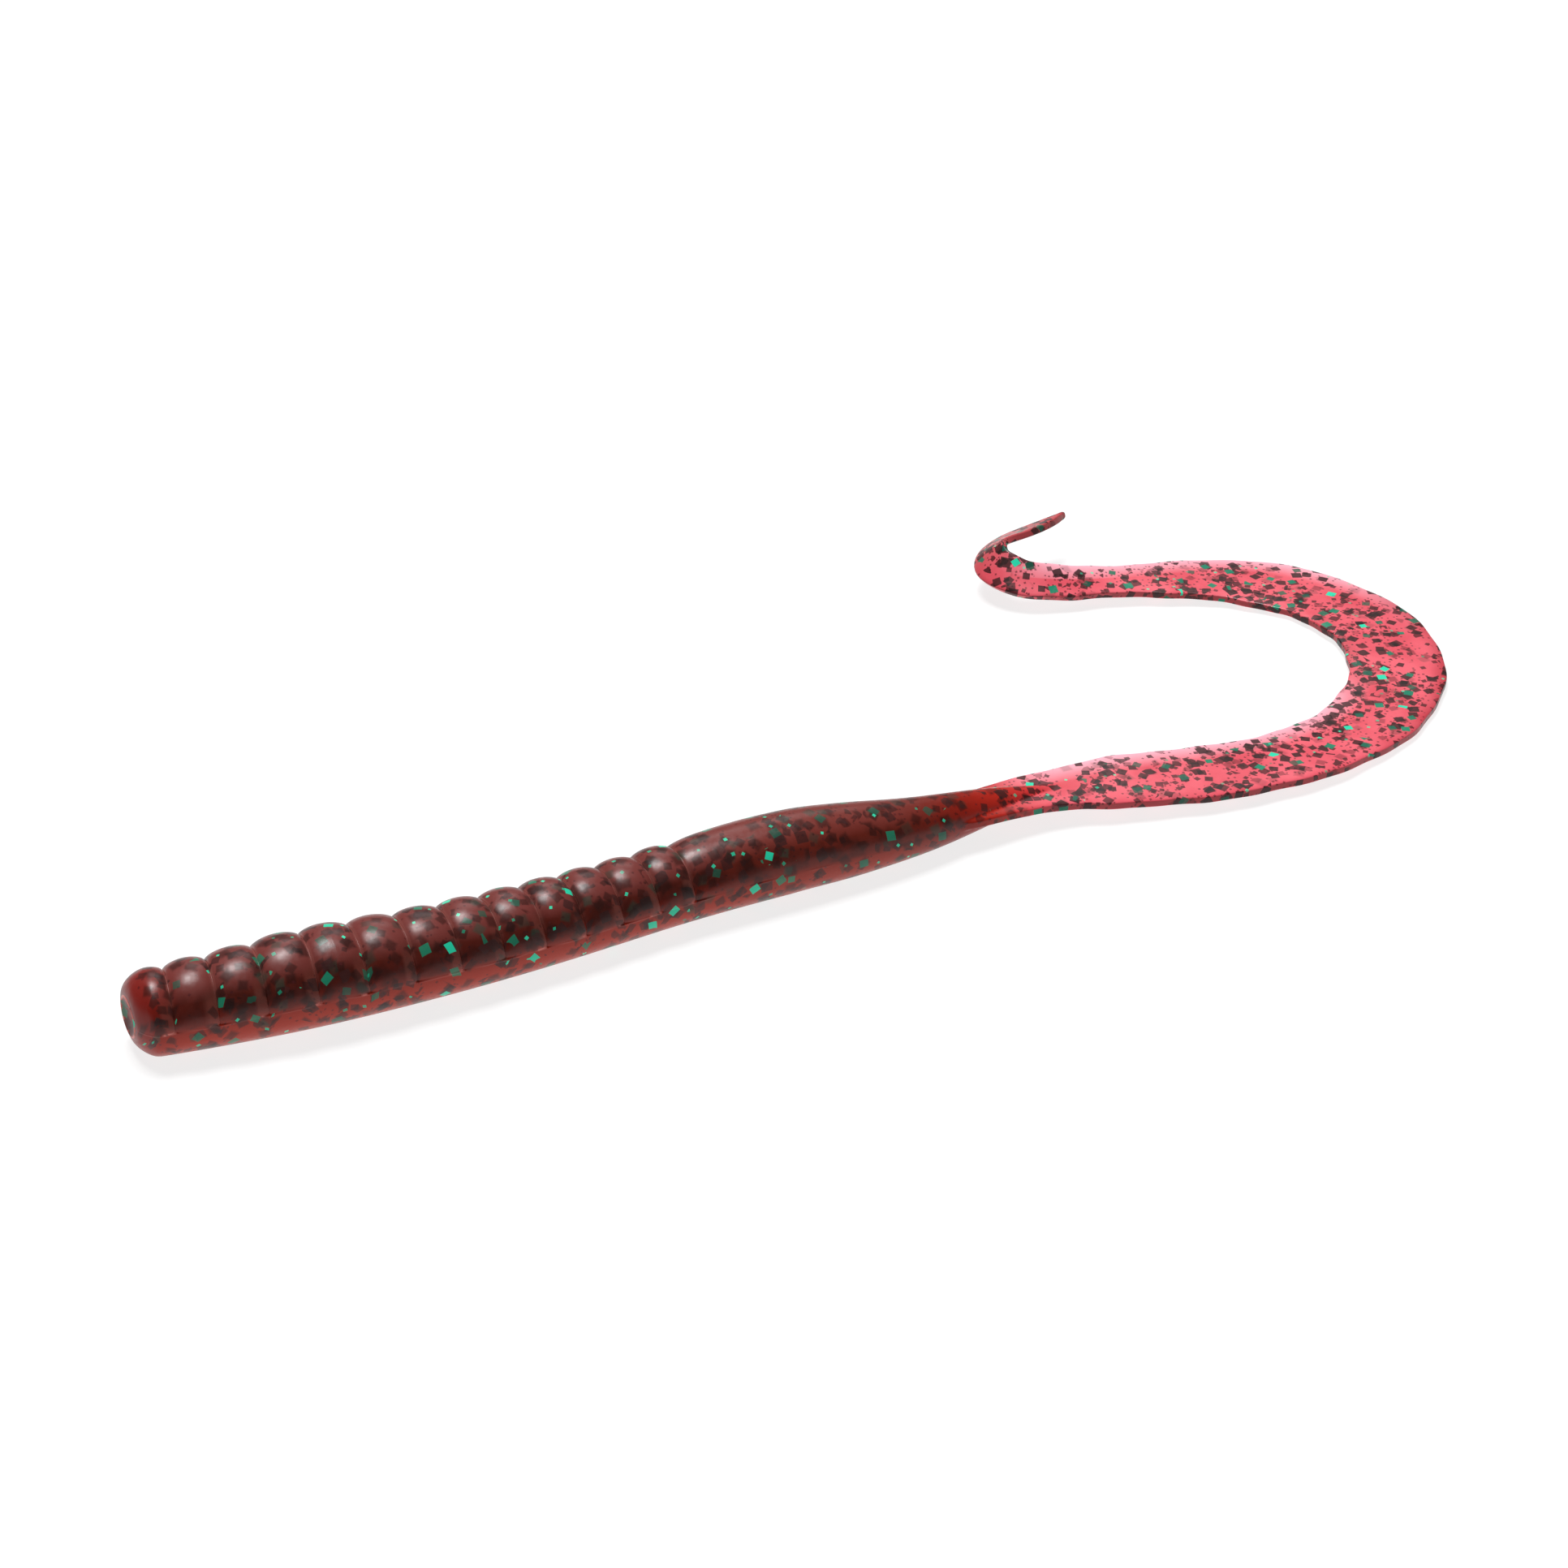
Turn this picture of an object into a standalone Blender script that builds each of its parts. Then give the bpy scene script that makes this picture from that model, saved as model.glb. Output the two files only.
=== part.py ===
"""A soft plastic fishing worm with a ribbon tail, lying at rest on its belly.

The worm is one soft moulding. Here it is divided at its moulded rings, and along the plain
collar, stem and ribbon, into short sections. Each section turns on the one ahead of it, so
that the chain of sections bends as the soft body does. Lengths are in metres, +Z is up, the
nose points to -X and the tail curls round to the left (+Y).
"""

import math

import bmesh
import bpy
from mathutils import Matrix, Vector

MM = 0.001

# Lengths along the worm, from the nose.
HEAD_LENGTH = 4.4 * MM
RING_COUNT = 12
RING_PITCHES = [  # (ring, counted from 0, and its length)
    (0, 4.10 * MM),
    (2, 4.80 * MM),
    (6, 4.42 * MM),
    (11, 4.00 * MM),
]
COLLAR_MIDDLE = 67.0 * MM
COLLAR_END = 77.5 * MM
STEM_END = 88.0 * MM
ROOT_END = 102.0 * MM
WORM_LENGTH = 227.0 * MM
RIBBON_SECTIONS = 10

# Body. The lower half is smooth, and the upper half is beaded.
NOSE_FACE_RADIUS = 1.95 * MM
NOSE_ROUNDING = 3.4 * MM
GROOVE_DEPTH = 0.58 * MM
CREST_RISE = 0.14 * MM
COLLAR_RISE = 3.0 * MM  # length over which the collar rises out of the last groove
COLLAR_CREST = 0.76  # height of the plain collar over a groove, as a share of a bead's
BELLY_FLAT = 0.97  # height of the axis over the flat of the belly, as a share of the radius
BODY_RADII = [  # (distance from the nose, radius)
    (0.0 * MM, 4.14 * MM),
    (10.0 * MM, 4.50 * MM),
    (18.0 * MM, 4.78 * MM),
    (30.0 * MM, 4.50 * MM),
    (43.0 * MM, 4.24 * MM),
    (54.0 * MM, 4.08 * MM),
    (63.0 * MM, 4.26 * MM),
    (70.0 * MM, 4.22 * MM),
    (76.0 * MM, 3.86 * MM),
    (82.0 * MM, 3.22 * MM),
    (86.0 * MM, 2.78 * MM),
    (90.0 * MM, 2.30 * MM),
    (94.0 * MM, 1.75 * MM),
    (98.0 * MM, 1.08 * MM),
    (101.5 * MM, 0.53 * MM),
]

# Ribbon. It is a flat strip with rounded edges that starts inside the stem.
RIBBON_START = 88.0 * MM
RIBBON_HALF_THICKNESS = 0.55 * MM
TIP_HALF_THICKNESS = 0.45 * MM
EDGE_BLUNTNESS = 0.40  # how far the outline goes from round to square at the ribbon's edges
FACE_FLATNESS = 0.65  # and on its two faces
RIBBON_HALF_WIDTHS = [
    (88.0 * MM, 2.55 * MM),
    (91.0 * MM, 2.85 * MM),
    (96.0 * MM, 3.05 * MM),
    (102.0 * MM, 3.50 * MM),
    (110.0 * MM, 4.60 * MM),
    (140.0 * MM, 5.10 * MM),
    (178.0 * MM, 5.35 * MM),
    (190.0 * MM, 4.00 * MM),
    (200.0 * MM, 3.20 * MM),
    (208.0 * MM, 2.60 * MM),
    (218.0 * MM, 2.20 * MM),
    (222.0 * MM, 1.75 * MM),
    (225.0 * MM, 1.15 * MM),
    (227.0 * MM, 0.40 * MM),
]

TIP_REACH = 0.45 * MM  # length of the rounding at the end of the ribbon
TIP_SHOULDER = 0.65  # where its middle row lies, as a share of its length and of the section

# How the worm lies: the way it heads in plan, the height of its axis and the bank of the ribbon.
HEADINGS = [  # (distance from the nose, degrees to the left of +X)
    (0.0 * MM, -12.5),
    (16.0 * MM, -7.0),
    (32.0 * MM, -2.0),
    (52.0 * MM, 2.5),
    (66.0 * MM, -2.0),
    (78.0 * MM, -4.0),
    (92.0 * MM, 5.0),
    (106.0 * MM, -13.0),
    (117.0 * MM, -12.0),
    (126.0 * MM, -1.0),
    (135.0 * MM, 13.5),
    (149.0 * MM, 42.0),
    (162.0 * MM, 78.0),
    (174.0 * MM, 115.0),
    (184.0 * MM, 148.0),
    (194.0 * MM, 162.0),
    (203.0 * MM, 166.0),
    (208.5 * MM, 146.0),
    (213.5 * MM, 73.0),
    (218.0 * MM, 11.0),
    (227.0 * MM, 15.0),
]
HEIGHTS = [
    (0.0 * MM, 0.00 * MM),
    (68.0 * MM, 4.10 * MM),
    (76.0 * MM, 3.85 * MM),
    (86.0 * MM, 3.30 * MM),
    (100.0 * MM, 2.50 * MM),
    (112.0 * MM, 2.10 * MM),
    (126.0 * MM, 1.50 * MM),
    (142.0 * MM, 0.80 * MM),
    (158.0 * MM, 0.95 * MM),
    (176.0 * MM, 0.80 * MM),
    (190.0 * MM, 1.40 * MM),
    (200.0 * MM, 2.10 * MM),
    (208.0 * MM, 3.30 * MM),
    (216.0 * MM, 4.60 * MM),
    (227.0 * MM, 5.30 * MM),
]
BANKS = [  # degrees, positive where the left edge of the ribbon is the higher one
    (90.0 * MM, 0.0),
    (112.0 * MM, 3.0),
    (130.0 * MM, -1.5),
    (150.0 * MM, 1.0),
    (180.0 * MM, 0.0),
    (196.0 * MM, -6.0),
    (206.0 * MM, -30.0),
    (213.0 * MM, -46.0),
    (220.0 * MM, -25.0),
    (227.0 * MM, -18.0),
]
NOSE_POSITION = Vector((-79.16 * MM, -16.42 * MM, 0.0))

# Joints between sections.
JOINT_GAP = 0.30 * MM
BALL_SHARE = 0.62  # radius of a body joint's ball, as a share of the body's radius
FACE_RELIEF = 6.6  # degrees that each face falls back, seen from the pivot
FACE_GAP = 0.10 * MM
HINGE_SHARE = 1.25  # radius of a ribbon joint's round end, as a share of its half thickness
BODY_RIM = 0.95 * MM  # length at each end of a section that holds no row of its outside
RIBBON_RIM = 0.95 * MM

# Fineness of the meshes.
AROUND = 20
CAP_ROWS = 3
NOSE_ROWS = 5
BEAD_ROW_LENGTH = 0.80 * MM
PLAIN_ROW_LENGTH = 2.2 * MM
RIBBON_ROW_LENGTH = 2.2 * MM
PATH_STEP = 0.25 * MM
MERGE_DISTANCE = 0.001 * MM

BODY_COLOUR = (0.19, 0.035, 0.025, 1.0)
STEM_COLOUR = (0.36, 0.045, 0.035, 1.0)
RIBBON_COLOUR = (0.72, 0.13, 0.17, 1.0)
GEL_ROUGHNESS = 0.28


def smooth_value(points, s):
    """The value at s of a smooth curve through (distance, value) points."""
    if s <= points[0][0]:
        return points[0][1]
    if s >= points[-1][0]:
        return points[-1][1]
    i = max(k for k in range(len(points) - 1) if points[k][0] <= s)
    (s0, v0), (s1, v1) = points[i], points[i + 1]

    def slope(k):
        before, after = points[max(k - 1, 0)], points[min(k + 1, len(points) - 1)]
        return (after[1] - before[1]) / (after[0] - before[0])

    span = s1 - s0
    t = (s - s0) / span
    return (
        (1 + 2 * t) * (1 - t) ** 2 * v0
        + t * (1 - t) ** 2 * span * slope(i)
        + t * t * (3 - 2 * t) * v1
        - t * t * (1 - t) * span * slope(i + 1)
    )


def body_radius(s):
    return smooth_value(BODY_RADII, s)


def axis_height(s):
    return max(BELLY_FLAT * body_radius(s), smooth_value(HEIGHTS, s))


def trace_path():
    """Points of the worm's axis, one every PATH_STEP, from the nose to the tip."""
    points = [Vector((NOSE_POSITION.x, NOSE_POSITION.y, axis_height(0.0)))]
    steps = round(WORM_LENGTH / PATH_STEP)
    for i in range(steps):
        heading = math.radians(smooth_value(HEADINGS, (i + 0.5) * PATH_STEP))
        x = points[-1].x + PATH_STEP * math.cos(heading)
        y = points[-1].y + PATH_STEP * math.sin(heading)
        points.append(Vector((x, y, axis_height((i + 1) * PATH_STEP))))
    return points


PATH = trace_path()


class Station:
    """A place on the axis: its point, and its forward, left and up directions."""

    def __init__(self, s):
        whole = min(max(s / PATH_STEP, 0.0), len(PATH) - 1.001)
        i = int(whole)
        self.s = s
        self.point = PATH[i].lerp(PATH[i + 1], whole - i)
        heading = math.radians(smooth_value(HEADINGS, s))
        ahead = Vector((math.cos(heading), math.sin(heading), 0.0))
        if s > STEM_END:
            rise = (axis_height(s + PATH_STEP) - axis_height(s - PATH_STEP)) / (2 * PATH_STEP)
            ahead = (ahead + Vector((0.0, 0.0, rise))).normalized()
        level = Vector((-math.sin(heading), math.cos(heading), 0.0))
        bank = math.radians(smooth_value(BANKS, s)) if s > RIBBON_START else 0.0
        self.ahead = ahead
        self.left = Matrix.Rotation(bank, 3, ahead) @ level
        self.up = ahead.cross(self.left)

    def place(self, forward, left, up):
        return self.point + self.ahead * forward + self.left * left + self.up * up


def section_outline(s, bead):
    """(left, up) points round the worm at s. bead is the height of the bead here, 0 to 1."""
    radius = body_radius(s)
    flatness = min(max((s - RIBBON_START) / (ROOT_END - RIBBON_START), 0.0), 1.0)
    flatness = flatness * flatness * (3 - 2 * flatness)
    half_height = max(radius, RIBBON_HALF_THICKNESS)
    if s > ROOT_END:
        along = (s - ROOT_END) / (WORM_LENGTH - ROOT_END)
        half_height = RIBBON_HALF_THICKNESS + (TIP_HALF_THICKNESS - RIBBON_HALF_THICKNESS) * along**3
    half_width = max(radius, smooth_value(RIBBON_HALF_WIDTHS, s)) if s > RIBBON_START else radius
    side_power = 1 - EDGE_BLUNTNESS * flatness
    top_power = 1 - FACE_FLATNESS * flatness
    beaded = s < COLLAR_MIDDLE
    lowest = -axis_height(s) if s < COLLAR_END else -half_height
    outline = []
    for i in range(AROUND):
        angle = (i + 0.5) * math.tau / AROUND
        across, height = math.cos(angle), math.sin(angle)
        left = math.copysign(abs(across) ** side_power, across) * half_width
        up = math.copysign(abs(height) ** top_power, height) * half_height
        if beaded and up > 0:
            share = 1 + (CREST_RISE - GROOVE_DEPTH * (1 - bead)) / radius
            left, up = left * share, up * share
        outline.append((left, max(up, lowest)))
    return outline


def bead_height(share):
    """Height of a bead at a share of its length: full in the middle, 0 in its grooves."""
    return math.sqrt(max(0.0, 1 - (2 * share - 1) ** 2))


def ball_rows(s, gap):
    """Rows of a round joint's end, from its rim to its middle.

    The section ahead ends in a ball (gap 0), and the one behind it in the socket that holds the
    ball. Both faces fall back from the joint, so that the sections can turn before they touch.
    """
    station = Station(s)
    outline = section_outline(s, 0.0)
    radius = BALL_SHARE * body_radius(s) + gap
    side = 1.0 if gap else -1.0
    fall = math.tan(math.radians(FACE_RELIEF))
    rows = []
    for share in (1.0, radius / body_radius(s)):
        row = []
        for left, up in outline:
            forward = side * (FACE_GAP + fall * share * math.hypot(left, up))
            row.append(station.place(forward, left * share, up * share))
        rows.append(row)
    for k in range(1, CAP_ROWS + 1):
        turn = k / CAP_ROWS * math.pi / 2
        share = radius * math.cos(turn)
        row = []
        for i in range(AROUND):
            angle = (i + 0.5) * math.tau / AROUND
            left, up = share * math.cos(angle), share * math.sin(angle)
            row.append(station.place(radius * math.sin(turn), left, up))
        rows.append(row)
    return rows


def hinge_rows(s, gap):
    """Rows of a flat joint's end, from its rim to its middle.

    The end is part of a cylinder that lies across the ribbon, centred on the joint's pivot.
    """
    station = Station(s)
    outline = section_outline(s, 0.0)
    cylinder = HINGE_SHARE * RIBBON_HALF_THICKNESS
    pivot = -math.sqrt(cylinder**2 - RIBBON_HALF_THICKNESS**2)
    rows = []
    for k in range(CAP_ROWS, -1, -1):
        share = k / CAP_ROWS
        row = []
        for left, up in outline:
            forward = pivot + math.sqrt((cylinder + gap) ** 2 - (up * share) ** 2)
            row.append(station.place(forward, left, up * share))
        rows.append(row)
    return rows


def joint_rows(s, gap):
    return hinge_rows(s, gap) if s >= ROOT_END else ball_rows(s, gap)


def pivot_of(s):
    """The place of the pivot of the joint at s."""
    if s < ROOT_END:
        return Station(s).point
    return Station(s).place(-RIBBON_HALF_THICKNESS * math.sqrt(HINGE_SHARE**2 - 1), 0.0, 0.0)


def nose_rows():
    """Rows from the middle of the flat nose face out over the rounded edge of the head."""
    rows = []
    outline = section_outline(0.0, 1.0)
    radius = body_radius(0.0)
    station = Station(0.0)
    rows.append([station.place(0.0, 0.0, 0.0)] * AROUND)
    for k in range(NOSE_ROWS):
        turn = k / NOSE_ROWS * math.pi / 2
        share = (NOSE_FACE_RADIUS + (radius - NOSE_FACE_RADIUS) * math.sin(turn)) / radius
        s = NOSE_ROUNDING * (1 - math.cos(turn))
        here = Station(s)
        rows.append([here.place(0.0, left * share, up * share) for left, up in outline])
    return rows


def outer_rows(start, end, bead_of, spacing):
    """Rows of the outside of a section, between its two rims."""
    count = max(2, round((end - start) / spacing))
    rows = []
    for k in range(count + 1):
        s = start + (end - start) * k / count
        station = Station(s)
        outline = section_outline(s, bead_of(s))
        rows.append([station.place(0.0, left, up) for left, up in outline])
    return rows


def tip_rows():
    """Rows that round off the end of the ribbon."""
    station = Station(WORM_LENGTH)
    outline = section_outline(WORM_LENGTH, 0.0)
    near = []
    for left, up in outline:
        near.append(station.place(TIP_REACH * TIP_SHOULDER, left * TIP_SHOULDER, up * TIP_SHOULDER))
    return [near, [station.place(TIP_REACH, 0.0, 0.0)] * AROUND]


def skin_rows(name, rows, pivot, material):
    """A closed object through rows of points, with its origin on its pivot."""
    mesh = bpy.data.meshes.new(name)
    bm = bmesh.new()
    rings = [[bm.verts.new(p - pivot) for p in row] for row in rows]
    for first, second in zip(rings, rings[1:]):
        for i in range(AROUND):
            j = (i + 1) % AROUND
            bm.faces.new((first[i], second[i], second[j], first[j]))
    bmesh.ops.remove_doubles(bm, verts=bm.verts, dist=MERGE_DISTANCE)
    bmesh.ops.dissolve_degenerate(bm, edges=bm.edges, dist=MERGE_DISTANCE)
    bmesh.ops.triangulate(bm, faces=bm.faces)
    bmesh.ops.recalc_face_normals(bm, faces=bm.faces)
    bm.to_mesh(mesh)
    bm.free()
    piece = bpy.data.objects.new(name, mesh)
    piece.location = pivot
    mesh.materials.append(material)
    bpy.context.scene.collection.objects.link(piece)
    return piece


def gel(name, colour):
    material = bpy.data.materials.new(name)
    material.use_nodes = True
    shader = material.node_tree.nodes["Principled BSDF"]
    shader.inputs["Base Color"].default_value = colour
    shader.inputs["Roughness"].default_value = GEL_ROUGHNESS
    return material


def section_list():
    """(name, start, end) of every section, from the nose to the tip."""
    sections = [("head", 0.0, HEAD_LENGTH)]
    for i in range(RING_COUNT):
        start = sections[-1][2]
        sections.append((f"ring_{i + 1:02d}", start, start + smooth_value(RING_PITCHES, i)))
    sections.append(("collar_front", sections[-1][2], COLLAR_MIDDLE))
    sections.append(("collar_rear", COLLAR_MIDDLE, COLLAR_END))
    sections.append(("stem", COLLAR_END, STEM_END))
    sections.append(("tail_root", STEM_END, ROOT_END))
    length = (WORM_LENGTH - ROOT_END) / RIBBON_SECTIONS
    for i in range(RIBBON_SECTIONS):
        name = "ribbon_tip" if i == RIBBON_SECTIONS - 1 else f"ribbon_{i + 1:02d}"
        start = ROOT_END + i * length
        sections.append((name, start, start + length))
    return sections


def build_section(name, start, end, material):
    first, last = start == 0.0, end >= WORM_LENGTH
    flat = start >= ROOT_END
    outer_start = NOSE_ROUNDING if first else start + (RIBBON_RIM if flat else BODY_RIM)
    outer_end = end if last else end - (RIBBON_RIM if end >= ROOT_END else BODY_RIM)

    def bead_of(s):
        if name == "head":
            return 1.0 if s < HEAD_LENGTH / 2 else bead_height(s / HEAD_LENGTH)
        if name.startswith("ring"):
            return bead_height((s - start) / (end - start))
        return COLLAR_CREST * min(1.0, (s - start) / COLLAR_RISE)

    spacing = RIBBON_ROW_LENGTH if flat else PLAIN_ROW_LENGTH
    if name.startswith("ring") or name == "head":
        spacing = BEAD_ROW_LENGTH
    rows = nose_rows() if first else list(reversed(joint_rows(start, JOINT_GAP)))
    rows += outer_rows(outer_start, outer_end, bead_of, spacing)
    rows += tip_rows() if last else joint_rows(end, 0.0)
    pivot = Station(0.0).point if first else pivot_of(start)
    return skin_rows(name, rows, pivot, material)


def build_worm():
    body = gel("body_gel", BODY_COLOUR)
    stem = gel("stem_gel", STEM_COLOUR)
    ribbon = gel("ribbon_gel", RIBBON_COLOUR)
    for name, start, end in section_list():
        material = ribbon if name.startswith("ribbon") else stem if name == "tail_root" else body
        build_section(name, start, end, material)


for old in list(bpy.data.objects):
    bpy.data.objects.remove(old)
build_worm()
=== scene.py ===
import math

import bpy
import numpy as np
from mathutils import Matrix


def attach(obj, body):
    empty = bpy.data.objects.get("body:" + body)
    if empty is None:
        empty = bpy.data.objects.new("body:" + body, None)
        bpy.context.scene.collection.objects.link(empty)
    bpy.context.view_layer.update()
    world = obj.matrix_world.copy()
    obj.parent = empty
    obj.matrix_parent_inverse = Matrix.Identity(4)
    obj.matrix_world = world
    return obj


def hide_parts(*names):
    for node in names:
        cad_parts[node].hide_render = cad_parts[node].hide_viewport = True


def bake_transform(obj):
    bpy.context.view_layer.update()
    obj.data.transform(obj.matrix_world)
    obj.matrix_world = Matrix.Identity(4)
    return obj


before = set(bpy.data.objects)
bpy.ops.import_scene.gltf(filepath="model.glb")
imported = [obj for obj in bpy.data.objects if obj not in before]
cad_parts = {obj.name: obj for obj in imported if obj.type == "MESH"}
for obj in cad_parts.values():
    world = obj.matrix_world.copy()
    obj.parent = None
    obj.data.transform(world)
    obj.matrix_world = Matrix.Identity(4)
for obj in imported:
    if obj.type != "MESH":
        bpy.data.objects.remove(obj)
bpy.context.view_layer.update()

MM = 0.001

# ---------------------------------------------------------------- the worm's own dimensions, in mm
HEAD_LENGTH = 4.4
RING_COUNT = 12
RING_PITCHES = [(0, 4.10), (2, 4.80), (6, 4.42), (11, 4.00)]
COLLAR_MIDDLE = 67.0
COLLAR_END = 77.5
STEM_END = 88.0
ROOT_END = 102.0
WORM_LENGTH = 227.0
RIBBON_SECTIONS = 10
NOSE_POSITION = (-79.16, -16.42)

NOSE_FACE_RADIUS = 1.95
NOSE_ROUNDING = 3.4
NOSE_DISH_DEPTH = 0.42
NOSE_SLANT = 0.18
BELLY_FLAT = 0.97
CREST_RISE = 0.16
GROOVE_DEPTH = 0.78
COLLAR_CREST = 0.72
COLLAR_RISE = 3.4
BEADS_FADE_FROM = 1.5  # behind the last ring, as is the next one
BEADS_FADE_TO = 9.0
LEDGE_DEPTH = 0.10
FLASH_HEIGHT = 0.07
RIBBON_START = 88.0
RIBBON_HALF_THICKNESS = 0.55
TIP_HALF_THICKNESS = 0.45
STRIP_SQUARENESS = 7.0
EDGE_WAVINESS = 0.20
JOIN_SHARPNESS = 18.0

BODY_RADII = [
    (0, 4.14), (10, 4.50), (18, 4.78), (30, 4.50), (43, 4.24), (54, 4.08), (63, 4.26), (70, 4.22),
    (76, 3.86), (82, 3.22), (86, 2.78), (90, 2.30), (94, 1.75), (98, 1.08), (101.5, 0.53),
]
RIBBON_HALF_WIDTHS = [
    (88, 2.55), (91, 2.85), (96, 3.05), (102, 3.50), (110, 4.60), (140, 5.10), (178, 5.35), (189, 3.95),
    (195, 3.05), (201, 2.45), (208, 2.35), (218, 2.05), (222, 1.50), (225, 0.85), (227, 0.15),
]
HEADINGS = [
    (0, -12.5), (16, -7), (32, -2), (52, 2.5), (66, -2), (78, -4), (92, 5), (106, -13), (117, -12),
    (126, -1), (135, 13.5), (149, 42), (162, 78), (174, 115), (184, 148), (194, 162), (203, 166),
    (208.5, 146), (213.5, 73), (218, 11), (227, 15),
]
HEIGHTS = [
    (0, 0), (68, 4.10), (76, 3.85), (86, 3.30), (100, 2.50), (112, 2.10), (126, 1.50), (142, 0.80),
    (158, 0.95), (176, 0.80), (190, 1.40), (200, 2.10), (208, 3.30), (216, 4.60), (227, 5.30),
]
BANKS = [
    (90, 0), (112, 3), (130, -1.5), (150, 1), (180, 0), (196, -6), (206, -30), (213, -46),
    (220, -25), (227, -18),
]

# ---------------------------------------------------------------- fineness of the skin
AROUND = 120
SEAM_EXTRA = (-2.2, -1.1, 1.1, 2.2)  # more columns beside the parting line, in degrees
ROWS_PER_RING = 20
PLAIN_STEP = 0.45
RIBBON_STEP = 0.55
PATH_STEP = 0.25
NOSE_FLAKES_ALONG = -40  # where the nose face's flakes are taken from, well off the body's own


def smooth_values(points, s):
    """The values at s of a smooth curve through (distance, value) points."""
    x, v = np.array(points, float).T
    s = np.clip(np.asarray(s, float), x[0], x[-1])
    i = np.clip(np.searchsorted(x, s, side="right") - 1, 0, len(x) - 2)
    before = np.maximum(np.arange(len(x)) - 1, 0)
    after = np.minimum(np.arange(len(x)) + 1, len(x) - 1)
    slope = (v[after] - v[before]) / (x[after] - x[before])
    span = x[i + 1] - x[i]
    t = (s - x[i]) / span
    return (
        (1 + 2 * t) * (1 - t) ** 2 * v[i]
        + t * (1 - t) ** 2 * span * slope[i]
        + t * t * (3 - 2 * t) * v[i + 1]
        - t * t * (1 - t) * span * slope[i + 1]
    )


def smooth_step(low, high, x):
    """From 0 at low to 1 at high, which may be the smaller of the two."""
    t = np.clip((np.asarray(x, float) - low) / (high - low), 0.0, 1.0)
    return t * t * (3 - 2 * t)


def axis_height(s):
    """How high the axis runs: on the belly's flat, or as high as the ribbon is lifted."""
    return np.maximum(BELLY_FLAT * smooth_values(BODY_RADII, s), smooth_values(HEIGHTS, s))


def trace_path():
    """Distances along the axis, and its points."""
    s = np.arange(0, WORM_LENGTH + PATH_STEP / 2, PATH_STEP)
    heading = np.radians(smooth_values(HEADINGS, s[:-1] + PATH_STEP / 2))
    x = NOSE_POSITION[0] + np.r_[0, np.cumsum(PATH_STEP * np.cos(heading))]
    y = NOSE_POSITION[1] + np.r_[0, np.cumsum(PATH_STEP * np.sin(heading))]
    return s, np.stack([x, y, axis_height(s)], 1)


PATH_S, PATH_POINTS = trace_path()


def stations(s):
    """The axis's points at s, and its forward, left and up directions there."""
    s = np.atleast_1d(np.asarray(s, float))
    point = np.stack([np.interp(s, PATH_S, PATH_POINTS[:, i]) for i in range(3)], 1)
    heading = np.radians(smooth_values(HEADINGS, s))
    flat = np.zeros_like(heading)
    rise = (axis_height(s + PATH_STEP) - axis_height(s - PATH_STEP)) / (2 * PATH_STEP)
    rise = rise * smooth_step(STEM_END - 4, STEM_END + 2, s)
    ahead = np.stack([np.cos(heading), np.sin(heading), rise], 1)
    ahead /= np.linalg.norm(ahead, axis=1)[:, None]
    level = np.stack([-np.sin(heading), np.cos(heading), flat], 1)
    bank = np.radians(smooth_values(BANKS, s)) * smooth_step(RIBBON_START, RIBBON_START + 4, s)
    across = np.cross(ahead, level)
    left = level * np.cos(bank)[:, None] + across * np.sin(bank)[:, None]
    return point, ahead, left, np.cross(ahead, left)


def section_starts():
    """Where each section starts, from the nose, and where the last one ends."""
    starts = [0.0, HEAD_LENGTH]
    for i in range(RING_COUNT):
        starts.append(starts[-1] + float(smooth_values(RING_PITCHES, i)))
    starts += [COLLAR_MIDDLE, COLLAR_END, STEM_END]
    starts += list(np.linspace(ROOT_END, WORM_LENGTH, RIBBON_SECTIONS + 1))
    return starts


SECTION_NAMES = (
    ["head"]
    + [f"ring_{i + 1:02d}" for i in range(RING_COUNT)]
    + ["collar_front", "collar_rear", "stem", "tail_root"]
    + [f"ribbon_{i + 1:02d}" for i in range(RIBBON_SECTIONS - 1)]
    + ["ribbon_tip"]
)
STARTS = section_starts()
RINGS_END = STARTS[RING_COUNT + 1]
MIDDLES = [(a + b) / 2 for a, b in zip(STARTS, STARTS[1:])]


def wander(s, phase):
    """A slow, uneven wave between about -1 and 1, for edges that aren't quite straight."""
    s = np.asarray(s, float)
    return (
        0.5 * np.sin(s / 1.9 + phase)
        + 0.3 * np.sin(s / 0.83 + 2.3 * phase)
        + 0.2 * np.sin(s / 4.7 + 5.1 * phase)
    )


# ---------------------------------------------------------------- the skin as one grid of points
def column_angles():
    """Angles round the section, from the belly's middle, with more beside the parting line."""
    angles = list(np.arange(AROUND) * 360.0 / AROUND - 90.0)
    angles += [side + extra for side in (0.0, 180.0) for extra in SEAM_EXTRA]
    return np.radians(np.sort(angles))


ANGLES = column_angles()


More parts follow.
